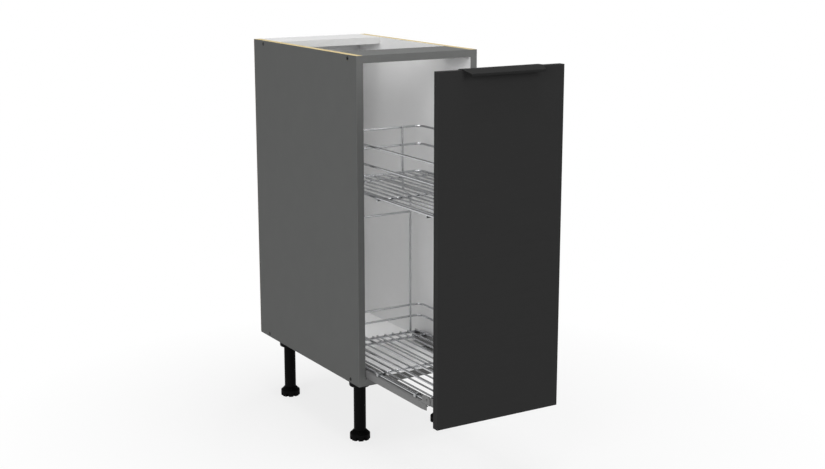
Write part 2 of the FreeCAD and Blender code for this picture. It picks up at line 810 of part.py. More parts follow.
def frame_inset(x):
    """How far a rod at x ends inside the frame's centre line, which turns inwards at its corners."""
    into_corner = max(0, abs(x) + floor_wire_radius - (basket_half - basket_corner_radius))
    turned_in = basket_corner_radius - sqrt(basket_corner_radius ** 2 - into_corner ** 2)
    return turned_in + frame_wire_radius + weld_gap


def upper_floor_rods():
    """Rods that lie on the cross rods and end inside the frame of the upper basket."""
    z = upper_cross_height + cross_wire_radius + floor_wire_radius + weld_gap
    rods = []
    for x in floor_xs():
        start = vec(x, basket_front + frame_inset(x), z)
        rods.append(pin(start, vec(0, 1, 0), floor_wire_radius, basket_length - 2 * frame_inset(x)))
    return Part.Compound(rods)


def rear_upright(side):
    y = rear_upright_y
    path = [
        vec(side * rear_upright_low_x, y, upright_foot),
        vec(side * rear_upright_low_x, y, rear_jog_start),
        vec(side * rear_upright_high_x, y, rear_jog_end),
        vec(side * rear_upright_high_x, y, upright_top),
    ]
    return bent_wire(path, rear_jog_radius, upright_wire_radius)


def rear_crossbar():
    reach_x = rear_upright_low_x - upright_wire_radius - weld_gap
    start = vec(-reach_x, rear_upright_y, rear_crossbar_height)
    return pin(start, vec(1, 0, 0), upright_wire_radius, 2 * reach_x)


def front_upright(side):
    start = vec(side * front_upright_x, front_upright_y, upright_foot)
    return pin(start, vec(0, 0, 1), upright_wire_radius, upright_top - upright_foot)


nodes = {
    "bottom_panel": bottom_panel(),
    "front_top_rail": front_top_rail(),
    "rear_top_rail": rear_top_rail(),
    "back_panel": back_panel(),
    "edge_bands": edge_bands(),
    "rear_rail_band": rear_rail_band(),
    "carcass_screws": carcass_screws(),
    "back_screws": back_screws(),
    "leg_screws": leg_screws(),
    "rail_screws": rail_screws(),
    "roller_pins": roller_pins(),
    "end_stops": end_stops(),
    "saddle_clips": saddle_clips(),
    "clip_rivets": clip_rivets(),
    "bracket_rivets": bracket_rivets(),
    "front_screws": front_screws(),
    "front_panel": front_panel(),
    "handle": handle(),
    "handle_screws": handle_screws(),
    "lower_frame": wire_loop(lower_frame_height, frame_wire_radius),
    "lower_mid_rail": wire_loop(lower_mid_rail_height, rail_wire_radius),
    "lower_top_rail": wire_loop(lower_top_rail_height, rail_wire_radius),
    "lower_cross_rods": lower_cross_rods(),
    "lower_floor_rods": lower_floor_rods(),
    "upper_frame": wire_loop(upper_frame_height, frame_wire_radius),
    "upper_mid_rail": wire_loop(upper_mid_rail_height, rail_wire_radius),
    "upper_top_rail": wire_loop(upper_top_rail_height, rail_wire_radius),
    "upper_cross_rods": upper_cross_rods(),
    "upper_floor_rods": upper_floor_rods(),
    "rear_crossbar": rear_crossbar(),
}
for name, side in sides.items():
    nodes["side_panel_" + name] = side_panel(side)
    nodes["fixed_runner_" + name] = fixed_runner(side)
    nodes["moving_runner_" + name] = moving_runner(side)
    for end, roller_y in roller_ys.items():
        nodes[end + "_roller_" + name] = roller(side, roller_y)
    nodes["lower_bracket_" + name] = lower_bracket(side)
    nodes["upper_bracket_" + name] = upper_bracket(side)
    nodes["front_upright_" + name] = front_upright(side)
    nodes["rear_upright_" + name] = rear_upright(side)
    for end, leg_y in leg_ys.items():
        nodes["leg_socket_" + end + "_" + name] = leg_socket(side, leg_y)
        nodes["leg_tube_" + end + "_" + name] = leg_tube(side, leg_y)
        nodes["leg_foot_" + end + "_" + name] = leg_foot(side, leg_y)

os.makedirs("parts", exist_ok=True)
for name, shape in nodes.items():
    shape.exportStep("parts/" + name + ".step")
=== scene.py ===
import math

import bmesh
import bpy
import numpy as np
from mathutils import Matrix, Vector


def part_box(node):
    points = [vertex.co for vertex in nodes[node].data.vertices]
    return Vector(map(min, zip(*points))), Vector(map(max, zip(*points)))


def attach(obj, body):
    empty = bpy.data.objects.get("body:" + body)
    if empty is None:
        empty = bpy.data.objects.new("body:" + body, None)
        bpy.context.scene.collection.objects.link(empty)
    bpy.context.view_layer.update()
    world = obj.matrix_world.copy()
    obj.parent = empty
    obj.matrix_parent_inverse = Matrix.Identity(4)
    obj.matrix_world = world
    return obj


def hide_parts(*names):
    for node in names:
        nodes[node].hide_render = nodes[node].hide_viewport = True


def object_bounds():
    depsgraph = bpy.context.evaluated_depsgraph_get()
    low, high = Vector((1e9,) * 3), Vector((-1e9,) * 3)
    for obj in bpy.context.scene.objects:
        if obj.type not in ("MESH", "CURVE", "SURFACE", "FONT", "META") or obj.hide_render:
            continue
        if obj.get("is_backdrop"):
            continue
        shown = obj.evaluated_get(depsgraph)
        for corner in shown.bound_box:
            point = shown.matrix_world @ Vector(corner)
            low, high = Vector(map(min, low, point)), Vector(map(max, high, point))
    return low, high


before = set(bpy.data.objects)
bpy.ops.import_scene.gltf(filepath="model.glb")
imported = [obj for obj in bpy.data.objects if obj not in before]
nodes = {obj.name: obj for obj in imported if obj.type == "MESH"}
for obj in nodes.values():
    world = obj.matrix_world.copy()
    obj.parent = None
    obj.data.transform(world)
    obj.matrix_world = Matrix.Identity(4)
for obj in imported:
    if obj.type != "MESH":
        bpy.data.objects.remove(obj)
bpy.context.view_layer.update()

MM = 0.001
SIDES = {"left": -1, "right": 1}
ENDS = ("front", "rear")
UP = np.array([0, 0, 1.0])
BACKWARD = np.array([0, 1.0, 0])

# Sizes of the wires beyond the boxes of their nodes
LOOP_BEND = 18 * MM
JOG_BEND = 8 * MM
JOG_LOW, JOG_HIGH = 518.5 * MM, 539.6 * MM
FLOOR_GAP, FLOOR_STEP = 12 * MM, 21 * MM
FLOOR_RODS_PER_SIDE, CROSS_RODS = 6, 3
DOME_SHARE = 0.5
BEAD_FLAT = np.array([1.6, 1.6, 0.8]) * MM
BEAD_UPRIGHT = np.array([1.4, 1.0, 1.6]) * MM

# Sizes of the folded sheets
HANDLE_SHEET, HANDLE_BEND, HANDLE_TAPER = 2 * MM, 1.6 * MM, 6.7 * MM
HANDLE_REACH, HANDLE_DROP, HANDLE_LIP = 22 * MM, 6.5 * MM, 12 * MM
RUNNER_SHEET, RUNNER_BEND = 1.5 * MM, 2.2 * MM
RUNNER_LOWER, RUNNER_UPPER, RUNNER_SHELF = 50.5 * MM, 37.3 * MM, 9.3 * MM
RUNNER_HEIGHT, RUNNER_FLANGE, RUNNER_LIP = 17.4 * MM, 13.4 * MM, 20.5 * MM
LIP_CUT, TAB_LENGTH, TAB_RADIUS = 25 * MM, 30 * MM, 8 * MM
EDGE_SHARE, EDGE_ANGLE = 0.2, math.radians(50)

# Sizes of the mouldings of the legs
FOOT_SIDE, FOOT_SHOULDER, FOOT_NECK, FOOT_EDGE = 15 * MM, 22.6 * MM, 14.5 * MM, 1.6 * MM
NOTCHES, NOTCH_DEPTH, NOTCH_HEIGHT = 8, 6 * MM, 8 * MM
NOTCH_WIDTH, NOTCH_RAMP = 5.5 * MM, 1 * MM
STEM_RADIUS, THREAD_DEPTH, THREAD_PITCH, THREAD_STEEPNESS = 8 * MM, 0.8 * MM, 4 * MM, 1.6
SOCKET_HEIGHT, SOCKET_EDGE = 24 * MM, 3 * MM

# Points along the curves of the surfaces
WIRE_SIDES, LOOP_POINTS, JOG_POINTS, DOME_POINTS = 20, 13, 9, 5
BEAD_ROWS, BEAD_SIDES = 9, 12
FOLD_POINTS, HANDLE_COLUMNS, CHANNEL_COLUMNS, PLATE_ROWS, TAB_COLUMNS = 7, 31, 24, 5, 31
FOOT_EDGE_POINTS, FOOT_WALL_POINTS, FOOT_SOLE_POINTS, SIDES_PER_NOTCH = 6, 12, 11, 24
STEM_SIDES, ROWS_PER_TURN, SOCKET_EDGE_POINTS, SOCKET_SIDES = 40, 8, 8, 72
SWEEP_POINTS, SWEEP_SIDES = 9, 96
MERGE_DISTANCE = 1e-7

# Studio and camera, in metres and degrees
SWEEP_RADIUS, SWEEP_RISE = 26.0, 6.0
SHADOW_NEAR, SHADOW_FAR, WHITE_NEAR = 0.4, 1.0, 0.8
ROOM_LEVEL = 0.26
CAMERA_PLACE = (-1.5580, -2.6220, 1.1463)
CAMERA_DIP, CAMERA_TURN = 12.704, 31.288
CAMERA_LENS, CAMERA_SENSOR = 61.06, 36.0


# Surfaces: every new piece is a grid of points, or a profile carried along a path


def grid_faces(rows, columns, wrap_rows, wrap_columns):
    """Quads of a grid: each joins a point to the next row and the next column, round the wrap."""
    row = np.arange(rows if wrap_rows else rows - 1)[:, None]
    column = np.arange(columns if wrap_columns else columns - 1)[None, :]
    next_row = (row + 1) % rows
    next_column = (column + 1) % columns
    corners = [row * columns + column, row * columns + next_column,
               next_row * columns + next_column, next_row * columns + column]
    return np.stack(corners, -1).reshape(-1, 4)


def stack_grids(grids, wrap_rows, wrap_columns):
    """Several grids of one size, shaped (count, rows, columns, 3), as one set of points and quads."""
    count, rows, columns = grids.shape[:3]
    quads = grid_faces(rows, columns, wrap_rows, wrap_columns)
    offsets = np.arange(count)[:, None, None] * rows * columns
    return grids.reshape(-1, 3), (quads[None] + offsets).reshape(-1, 4)


def gather(*surfaces):
    """Several sets of points and quads as one set."""
    starts = np.cumsum([0] + [len(points) for points, _ in surfaces[:-1]])
    points = np.concatenate([points for points, _ in surfaces])
    return points, np.concatenate([quads + start for (_, quads), start in zip(surfaces, starts)])


def make_piece(name, surface, material, body, stands_for=(), thickness=0.0):
    """A mesh from points and quads, with doubled points merged and faces turned outwards.
    A thickness makes sheet metal of it, half to each side, with broken edges."""
    points, quads = surface
    mesh = bpy.data.meshes.new(name)
    mesh.from_pydata(points.tolist(), [], quads.tolist())
    work = bmesh.new()
    work.from_mesh(mesh)
    bmesh.ops.remove_doubles(work, verts=work.verts, dist=MERGE_DISTANCE)
    bmesh.ops.recalc_face_normals(work, faces=work.faces)
    work.to_mesh(mesh)
    work.free()
    mesh.polygons.foreach_set("use_smooth", np.full(len(mesh.polygons), True))
    mesh.materials.append(material)
    piece = bpy.data.objects.new(name, mesh)
    bpy.context.scene.collection.objects.link(piece)
    if thickness:
        sheet = piece.modifiers.new("sheet", "SOLIDIFY")
        sheet.thickness = thickness
        sheet.offset = 0.0
        sheet.use_even_offset = True
        edge = piece.modifiers.new("broken_edge", "BEVEL")
        edge.width = thickness * EDGE_SHARE
        edge.segments = 2
        edge.limit_method = "ANGLE"
        edge.angle_limit = EDGE_ANGLE
    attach(piece, body)
    if stands_for:
        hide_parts(*stands_for)
    return piece


def carried_circle(path, tangents, plane_normal, radii):
    """A circle carried along a flat path: point + radius (cos a * normal + sin a * across),
    where across is the tangent turned a quarter in the plane of the path."""
    angle = np.linspace(0, 2 * np.pi, WIRE_SIDES, endpoint=False)
    across = np.cross(tangents, plane_normal)
    spoke = np.cos(angle)[:, None] * plane_normal + np.sin(angle)[:, None] * across[:, None, :]
    return path[:, None, :] + radii[:, None, None] * spoke


def turned(middle, radius, height, angle):
    """A profile turned about an upright axis: middle + radius (cos angle, sin angle), at its height."""
    x = middle[0] + radius * np.cos(angle)
    y = middle[1] + radius * np.sin(angle)
    return np.stack(np.broadcast_arrays(x, y, height), -1)


def rounded_path(corners, bend, steps, closed):
    """A path of straight runs whose corners are arcs of one radius: each arc's points are
    centre + bend (cos t * first spoke + sin t * second spoke)."""
    corners = np.asarray(corners, float)
    count = len(corners)
    inner = range(count) if closed else range(1, count - 1)
    points = [] if closed else [corners[:1]]
    for i in inner:
        here = corners[i]
        back, onward = corners[i - 1] - here, corners[(i + 1) % count] - here
        back, onward = back / np.linalg.norm(back), onward / np.linalg.norm(onward)
        half = math.acos(np.clip(back @ onward, -1, 1)) / 2
        middle = (back + onward) / np.linalg.norm(back + onward)
        centre = here + middle * bend / math.sin(half)
        first = here + back * bend / math.tan(half) - centre
        swing = math.pi - 2 * half
        second = onward * bend / math.tan(half) + here - centre
        second = (second - first * math.cos(swing)) / math.sin(swing)
        t = np.linspace(0, swing, steps)[:, None]
        points.append(centre + np.cos(t) * first + np.sin(t) * second)
    if not closed:
        points.append(corners[-1:])
    return np.concatenate(points)


def path_tangents(path, closed):
    """Unit directions along a path, from each point's neighbours."""
    if closed:
        run = np.roll(path, -1, 0) - np.roll(path, 1, 0)
    else:
        run = np.gradient(path, axis=0)
    return run / np.linalg.norm(run, axis=1, keepdims=True)


def wire_loop(node):
    """A closed wire round a basket: the node's box less the wire's radius, with bent corners."""
    low, high = (np.array(corner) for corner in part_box(node))
    radius = (high[2] - low[2]) / 2
    a, b = low + radius, high - radius
    corners = [(a[0], a[1], a[2]), (b[0], a[1], a[2]), (b[0], b[1], a[2]), (a[0], b[1], a[2])]
    path = rounded_path(corners, LOOP_BEND, LOOP_POINTS, True)
    ring = carried_circle(path, path_tangents(path, True), UP, np.full(len(path), radius))
    return stack_grids(ring[None], True, True)


def round_ends(path, radius):
    """Adds to an open path the points of two domed ends: over a share of the wire's radius at each end
    the radius falls as a quarter of an ellipse."""
    turn = np.linspace(0, np.pi / 2, DOME_POINTS, endpoint=False)
    run = path_tangents(path, False)
    dome = DOME_SHARE * radius
    depth = (dome * (1 - np.cos(turn)))[:, None]
    start = path[0] + run[0] * depth
    finish = path[-1] - run[-1] * depth[::-1]
    inner = path.copy()
    inner[0] += run[0] * dome
    inner[-1] -= run[-1] * dome
    whole = np.concatenate([start, inner, finish])
    fall = radius * np.sin(turn)
    radii = np.concatenate([fall, np.full(len(inner), radius), fall[::-1]])
    runs = np.concatenate([np.repeat(run[:1], len(turn), 0), run, np.repeat(run[-1:], len(turn), 0)])
    return whole, runs, radii


def straight_rods(node, places, along):
    """A row of straight rods at given places across a node's box, as long as the box and domed."""
    low, high = (np.array(corner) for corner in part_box(node))
    radius = (high[2] - low[2]) / 2
    grids = []
    for place in places:
        start = np.array([place, place, low[2] + radius])
        end = start.copy()
        start[along], end[along] = low[along], high[along]
        path, runs, radii = round_ends(np.linspace(start, end, 3), radius)
        grids.append(carried_circle(path, runs, UP, radii))
    return stack_grids(np.array(grids), False, True)


def standing_rod(corners, radius):
    """A rod in the plane of X and Z, bent at its inner corners and domed at both ends."""
    path = rounded_path(corners, JOG_BEND, JOG_POINTS, False)
    path, runs, radii = round_ends(path, radius)
    ring = carried_circle(path, runs, BACKWARD, radii)
    return stack_grids(ring[None], False, True)


def weld_beads(centres, radii):
    """Squeezed weld metal where wires cross: centre + radii (sin u cos v, sin u sin v, cos u)."""
    u = np.linspace(0, np.pi, BEAD_ROWS)[:, None]
    v = np.linspace(0, 2 * np.pi, BEAD_SIDES, endpoint=False)[None, :]
    ball = np.stack([np.sin(u) * np.cos(v), np.sin(u) * np.sin(v), np.cos(u) * np.ones_like(v)], -1)
    return stack_grids(np.asarray(centres)[:, None, None, :] + ball * radii, False, True)


def folded_handle(node):
    """A folded strip: a bent line of Y and Z carried along X. Ahead of the panel's face each point's
    half length falls in step with its reach, which tapers the ends."""
    low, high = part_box(node)
    sheet = HANDLE_SHEET / 2
    face, tip = low[1] + HANDLE_REACH, low[1] + sheet
    back, top = high[1] - sheet, high[2] - sheet
    line = [(back, low[2]), (back, top), (face, top),
            (tip, top - HANDLE_DROP), (tip, high[2] - HANDLE_LIP)]
    line = rounded_path(line, HANDLE_BEND, FOLD_POINTS, False)
    half = high[0] - HANDLE_TAPER * np.clip((face - line[:, 0]) / HANDLE_REACH, 0, 1)
    x = half[:, None] * np.linspace(-1, 1, HANDLE_COLUMNS)
    points = np.stack(np.broadcast_arrays(x, line[:, :1], line[:, 1:]), -1)
    return stack_grids(points[None], False, False)


def folded_runner(node, side):
    """Sheet folded into a channel: a bent line of X and Z carried along Y, with its lower lip cut back at
    the front; the flat shelf ahead of it; and the tab, whose top edge is level and falls as a quarter
    circle at each end."""
    low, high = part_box(node)
    sheet = RUNNER_SHEET / 2
    outer, inner = max(abs(low[0]), abs(high[0])), min(abs(low[0]), abs(high[0]))
    front, bottom = low[1] - RUNNER_SHELF, low[2]
    shelf = bottom + RUNNER_HEIGHT
    line = [(outer - RUNNER_LIP, bottom + sheet), (outer - sheet, bottom + sheet),
            (outer - sheet, shelf - sheet), (inner + sheet, shelf - sheet),
            (inner + sheet, shelf - RUNNER_FLANGE)]
    line = rounded_path(line, RUNNER_BEND, FOLD_POINTS, False)
    on_lip = np.clip(1 - (line[:, 1:] - bottom - sheet) / RUNNER_BEND, 0, 1)
    start = front + RUNNER_LOWER + LIP_CUT * on_lip
    y = start + np.linspace(0, 1, CHANNEL_COLUMNS) * (high[1] - start)
    channel = np.stack(np.broadcast_arrays(side * line[:, :1], y, line[:, 1:]), -1)

    rise = np.linspace(0, 1, PLATE_ROWS)[:, None]
    y = front + np.array([RUNNER_SHELF, RUNNER_UPPER, RUNNER_UPPER, RUNNER_LOWER])
    far = np.array([outer - RUNNER_SHEET, outer - RUNNER_SHEET, outer, outer])
    x = inner + rise * (far - inner)
    plate = np.stack(np.broadcast_arrays(side * x, y[None, :], shelf - sheet), -1)

    t = TAB_LENGTH / 2 * (1 - np.cos(np.linspace(0, np.pi, TAB_COLUMNS)))
    inset = np.clip(TAB_RADIUS - np.minimum(t, TAB_LENGTH - t), 0, TAB_RADIUS)
    crest = high[2] - TAB_RADIUS + np.sqrt(TAB_RADIUS ** 2 - inset ** 2)
    y = front + RUNNER_UPPER + t
    z = shelf - sheet + rise * (crest - shelf + sheet)
    tab = np.stack(np.broadcast_arrays(side * (outer - sheet), y[None, :], z), -1)
    return gather(*(stack_grids(part[None], False, False) for part in (channel, plate, tab)))


def turned_foot(node):
    """A moulded foot: a profile of radius and height turned about the leg's axis. Below the notch height
    the radius is held back by the notch depth times a ramped window of the angle. The stem's radius
    follows a cosine of height and angle, cut flat at its crests, which makes the thread's helix."""
    low, high = (np.array(corner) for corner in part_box(node))
    middle = (low + high) / 2
    rim = (high[0] - low[0]) / 2
    turn = np.linspace(0, np.pi / 2, FOOT_EDGE_POINTS)
    inward, outward = FOOT_EDGE * (1 - np.sin(turn)), FOOT_EDGE * (1 - np.cos(turn))
    edge = np.stack([rim - inward, outward], -1)
    brow = np.stack([rim - outward, FOOT_SIDE - inward], -1)
    rise = np.linspace(FOOT_EDGE, FOOT_SIDE - FOOT_EDGE, FOOT_WALL_POINTS + 2)[1:-1]
    wall = np.stack([np.full(len(rise), rim), rise], -1)
    reach = np.linspace(0, rim - FOOT_EDGE, FOOT_SOLE_POINTS, endpoint=False)
    sole = np.stack([reach, np.zeros(len(reach))], -1)
    cap = np.array([(FOOT_NECK, FOOT_SHOULDER), (STEM_RADIUS - THREAD_DEPTH, FOOT_SHOULDER)])
    line = np.concatenate([sole, edge, wall, brow, cap])
    height = line[:, 1:]
    angle = np.linspace(0, 2 * np.pi, SIDES_PER_NOTCH * NOTCHES, endpoint=False)
    turns_off = np.abs((angle * NOTCHES / (2 * np.pi) + 0.5) % 1 - 0.5) / NOTCHES
    window = (NOTCH_WIDTH + NOTCH_RAMP) / 2 - turns_off * 2 * np.pi * rim
    window = np.clip(window / NOTCH_RAMP, 0, 1)
    below = np.clip((NOTCH_HEIGHT + NOTCH_RAMP / 2 - height) / NOTCH_RAMP, 0, 1)
    radius = np.minimum(line[:, :1], rim - NOTCH_DEPTH * window * below)
    foot = turned(middle, radius, low[2] + height, angle)

    start = low[2] + FOOT_SHOULDER
    turns = int((high[2] - low[2] - FOOT_SHOULDER) / THREAD_PITCH)
    height = np.linspace(start, high[2], ROWS_PER_TURN * turns)[:, None]
    angle = np.linspace(0, 2 * np.pi, STEM_SIDES, endpoint=False)
    wave = np.cos(2 * np.pi * height / THREAD_PITCH - angle)
    radius = STEM_RADIUS - THREAD_DEPTH * (1 + np.clip(THREAD_STEEPNESS * wave, -1, 1)) / 2
    radius[-1] = 0
    stem = turned(middle, radius, height, angle)
    return gather(stack_grids(foot[None], False, True), stack_grids(stem[None], False, True))


def turned_socket(node, tube):
    """A collar round the top of a leg: a profile of radius and height turned about the leg's axis, with a
    quarter circle at its lower rim."""
    low, high = (np.array(corner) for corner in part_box(node))
    tube_low, tube_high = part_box(tube)
    rim, inner = (high[0] - low[0]) / 2, (tube_high[0] - tube_low[0]) / 2
    bottom = high[2] - SOCKET_HEIGHT
    turn = np.linspace(0, np.pi / 2, SOCKET_EDGE_POINTS)
    edge = np.stack([rim - SOCKET_EDGE * (1 - np.sin(turn)),
                     bottom + SOCKET_EDGE * (1 - np.cos(turn))], -1)
    line = np.concatenate([[(inner, high[2]), (inner, bottom)], edge, [(rim, high[2])]])
    angle = np.linspace(0, 2 * np.pi, SOCKET_SIDES, endpoint=False)
    collar = turned((low + high) / 2, line[:, :1], line[:, 1:], angle)
    return stack_grids(collar[None], True, True)


# Materials

# Sockets of the Mix node, which has one pair for numbers and another for colours
FACTOR, NUMBER_A, NUMBER_B, COLOUR_A, COLOUR_B = 0, 2, 3, 6, 7
NUMBER_OUT, COLOUR_OUT = 0, 2

# How far inside a board's face the face's colour reaches
FACE_MARGIN = 0.05 * MM


def linear(hex_colour):
    """A six-digit sRGB hex colour as linear RGBA."""
    code = np.array([int(hex_colour[i:i + 2], 16) for i in (1, 3, 5)]) / 255
    value = np.where(code <= 0.04045, code / 12.92, ((code + 0.055) / 1.055) ** 2.4)
    return (*value.tolist(), 1.0)


def add(tree, kind, inputs=None, **settings):
    """Adds one node, sets its properties, and sets or links its inputs."""
    node = tree.nodes.new(kind)
    for key, value in settings.items():
        setattr(node, key, value)
    for key, value in (inputs or {}).items():
        if isinstance(value, bpy.types.NodeSocket):
            tree.links.new(value, node.inputs[key])
        else:
            node.inputs[key].default_value = value
    return node


def start_material(name):
    """An empty material with a surface shader, and the piece's own coordinates in metres."""
    material = bpy.data.materials.new(name)
    material.use_nodes = True
    tree = material.node_tree
    tree.nodes.clear()
    shader = add(tree, "ShaderNodeBsdfPrincipled")
    add(tree, "ShaderNodeOutputMaterial", {"Surface": shader.outputs[0]})
    place = add(tree, "ShaderNodeTexCoord").outputs["Object"]
    return material, tree, shader, place


def wander(tree, place, dark, light, grain_mm):
    """A colour that wanders between two shades over patches of one size."""
    noise = add(tree, "ShaderNodeTexNoise",
                {"Vector": place, "Scale": 1 / (grain_mm * MM), "Detail": 3.0})
    shades = {FACTOR: noise.outputs[0], COLOUR_A: linear(dark), COLOUR_B: linear(light)}
    return add(tree, "ShaderNodeMix", shades, data_type="RGBA").outputs[COLOUR_OUT]


def press_texture(tree, place, shader, grain_mm, height_mm, strength):
    """A bump of one grain size and height on the shader."""
    noise = add(tree, "ShaderNodeTexNoise",
                {"Vector": place, "Scale": 1 / (grain_mm * MM), "Detail": 2.0})
    bump = add(tree, "ShaderNodeBump",
               {"Strength": strength, "Distance": height_mm * MM, "Height": noise.outputs[0]})
    tree.links.new(bump.outputs[0], shader.inputs["Normal"])


def chip_colour(tree, place):
    """Raw particle board: pressed chips about 2 mm across, each its own brown, over fine dust."""
    chips = add(tree, "ShaderNodeTexVoronoi", {"Vector": place, "Scale": 1 / (2.2 * MM)})
    split = add(tree, "ShaderNodeSeparateColor", {0: chips.outputs["Color"]})
    browns = {FACTOR: split.outputs[0], COLOUR_A: linear("#a48f67"), COLOUR_B: linear("#cbbc94")}
    chip = add(tree, "ShaderNodeMix", browns, data_type="RGBA").outputs[COLOUR_OUT]
    dust = add(tree, "ShaderNodeTexNoise", {"Vector": place, "Scale": 1 / (0.7 * MM), "Detail": 3.0})
    dusted = {FACTOR: dust.outputs[0], COLOUR_A: chip, COLOUR_B: linear("#b9aa80")}
    return add(tree, "ShaderNodeMix", dusted, data_type="RGBA").outputs[COLOUR_OUT]


def melamine_board(name, outer_shades, inner_shades, axis, node):
    """Melamine-faced particle board: pressed paper with a faint orange-peel sheen on its faces, and
    raw chips on its cut edges. The two faces are told apart by their place along one axis of the
    node's box; across the cabinet it is the distance from the middle that counts."""
    material, tree, shader, place = start_material(name)
    split = add(tree, "ShaderNodeSeparateXYZ", {0: place})
    along = add(tree, "ShaderNodeMath", {0: split.outputs[axis]}, operation="ABSOLUTE").outputs[0]
    low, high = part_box(node)
    outer = add(tree, "ShaderNodeMath", {0: along, 1: high[axis] - FACE_MARGIN},
                operation="GREATER_THAN").outputs[0]
    inner = add(tree, "ShaderNodeMath", {0: along, 1: low[axis] + FACE_MARGIN},
                operation="LESS_THAN").outputs[0]
    papers = {FACTOR: outer, COLOUR_A: wander(tree, place, *inner_shades, 40),
              COLOUR_B: wander(tree, place, *outer_shades, 40)}
    paper = add(tree, "ShaderNodeMix", papers, data_type="RGBA").outputs[COLOUR_OUT]
    on_face = add(tree, "ShaderNodeMath", {0: outer, 1: inner}, operation="ADD").outputs[0]
    surfaces = {FACTOR: on_face, COLOUR_A: chip_colour(tree, place), COLOUR_B: paper}
    colour = add(tree, "ShaderNodeMix", surfaces, data_type="RGBA").outputs[COLOUR_OUT]
    tree.links.new(colour, shader.inputs["Base Color"])
    rough = add(tree, "ShaderNodeMix", {FACTOR: on_face, NUMBER_A: 0.9, NUMBER_B: 0.55})
    tree.links.new(rough.outputs[NUMBER_OUT], shader.inputs["Roughness"])
    shader.inputs["Specular IOR Level"].default_value = 0.12
    # The emboss of the paper is about 0.3 mm wide; it is drawn 1.2 mm wide to show
    press_texture(tree, place, shader, 1.2, 0.04, 0.2)
    return material


def lacquered_hardboard():
    """Hardboard with a thin white lacquer: smooth on the face, brown fibre on its back and edges."""
    material, tree, shader, place = start_material("lacquered_hardboard")
    split = add(tree, "ShaderNodeSeparateXYZ", {0: place})
    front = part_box("back_panel")[0][1] + FACE_MARGIN
    inside = add(tree, "ShaderNodeMath", {0: split.outputs[1], 1: front},
                 operation="LESS_THAN").outputs[0]
    lacquer = wander(tree, place, "#e2e2e2", "#e6e6e6", 25)
    fibre = wander(tree, place, "#7c5f3f", "#94754f", 1.5)
    surfaces = {FACTOR: inside, COLOUR_A: fibre, COLOUR_B: lacquer}
    colour = add(tree, "ShaderNodeMix", surfaces, data_type="RGBA").outputs[COLOUR_OUT]
    tree.links.new(colour, shader.inputs["Base Color"])
    rough = add(tree, "ShaderNodeMix", {FACTOR: inside, NUMBER_A: 0.8, NUMBER_B: 0.5})
    tree.links.new(rough.outputs[NUMBER_OUT], shader.inputs["Roughness"])
    press_texture(tree, place, shader, 2.0, 0.03, 0.2)
    return material


def edge_tape(name, dark, light):
    """ABS edging tape: plain plastic with a soft sheen and a slight waviness from the glue under it."""
    material, tree, shader, place = start_material(name)
    tree.links.new(wander(tree, place, dark, light, 12), shader.inputs["Base Color"])
    shader.inputs["Roughness"].default_value = 0.45
    shader.inputs["Specular IOR Level"].default_value = 0.3
    press_texture(tree, place, shader, 1.0, 0.02, 0.2)
    return material


def charcoal_laminate():
    """Matte charcoal laminate with a faint level grain: streaks 2.5 mm high and about 125 mm long."""
    material, tree, shader, place = start_material("charcoal_laminate")
    stretch = add(tree, "ShaderNodeMapping", {0: place, "Scale": (0.02, 0.02, 1.0)})
    streak = add(tree, "ShaderNodeTexNoise",
                 {"Vector": stretch.outputs[0], "Scale": 1 / (2.5 * MM), "Detail": 3.0}).outputs[0]
    shades = {FACTOR: streak, COLOUR_A: linear("#272727"), COLOUR_B: linear("#2b2b2b")}
    colour = add(tree, "ShaderNodeMix", shades, data_type="RGBA").outputs[COLOUR_OUT]
    tree.links.new(colour, shader.inputs["Base Color"])
    rough = add(tree, "ShaderNodeMix", {FACTOR: streak, NUMBER_A: 0.55, NUMBER_B: 0.65})
    tree.links.new(rough.outputs[NUMBER_OUT], shader.inputs["Roughness"])
    shader.inputs["Specular IOR Level"].default_value = 0.08
    bump = add(tree, "ShaderNodeBump", {"Strength": 0.15, "Distance": 0.05 * MM, "Height": streak})
    tree.links.new(bump.outputs[0], shader.inputs["Normal"])
    return material


def powder_coat(name, dark, light, roughness, shine):
    """Powder coat on sheet metal: a fine even pebble about 0.6 mm wide, drawn 1 mm wide to show."""
    material, tree, shader, place = start_material(name)
    tree.links.new(wander(tree, place, dark, light, 6), shader.inputs["Base Color"])
    shader.inputs["Roughness"].default_value = roughness
    shader.inputs["Specular IOR Level"].default_value = shine
    press_texture(tree, place, shader, 1.0, 0.05, 0.3)
    return material


def moulded_plastic(name, dark, light, roughness, shine):
    """Moulded plastic: even colour, and the skin of a spark-eroded mould. Its grain is about half a
    millimetre wide, drawn 0.8 mm wide to show."""
    material, tree, shader, place = start_material(name)
    tree.links.new(wander(tree, place, dark, light, 8), shader.inputs["Base Color"])
    shader.inputs["Roughness"].default_value = roughness
    shader.inputs["Specular IOR Level"].default_value = shine
    press_texture(tree, place, shader, 0.8, 0.04, 0.3)
    return material


def plated_metal(name, dark, light, roughness, patch_mm):
    """Plated steel: a metal whose gloss wanders a little over small patches."""
    material, tree, shader, place = start_material(name)
    tree.links.new(wander(tree, place, dark, light, patch_mm), shader.inputs["Base Color"])
    shader.inputs["Metallic"].default_value = 1.0
    noise = add(tree, "ShaderNodeTexNoise",
                {"Vector": place, "Scale": 1 / (patch_mm * MM), "Detail": 2.0})
    rough = add(tree, "ShaderNodeMix", {FACTOR: noise.outputs[0], NUMBER_A: roughness * 0.7,
                                        NUMBER_B: roughness * 1.3})
    tree.links.new(rough.outputs[NUMBER_OUT], shader.inputs["Roughness"])
    return material


GREY = ("#5b5c5b", "#5f605f")
WHITE = ("#f3f3f3", "#f7f7f7")
# The rear rail is the same white melamine as the inner faces, drawn much greyer: painted shade that keeps
# its top, which faces the overhead lamp, as dim as the rest of the inside
RAIL_WHITE_PAINTED_SHADE = ("#c1c1c1", "#c6c6c6")

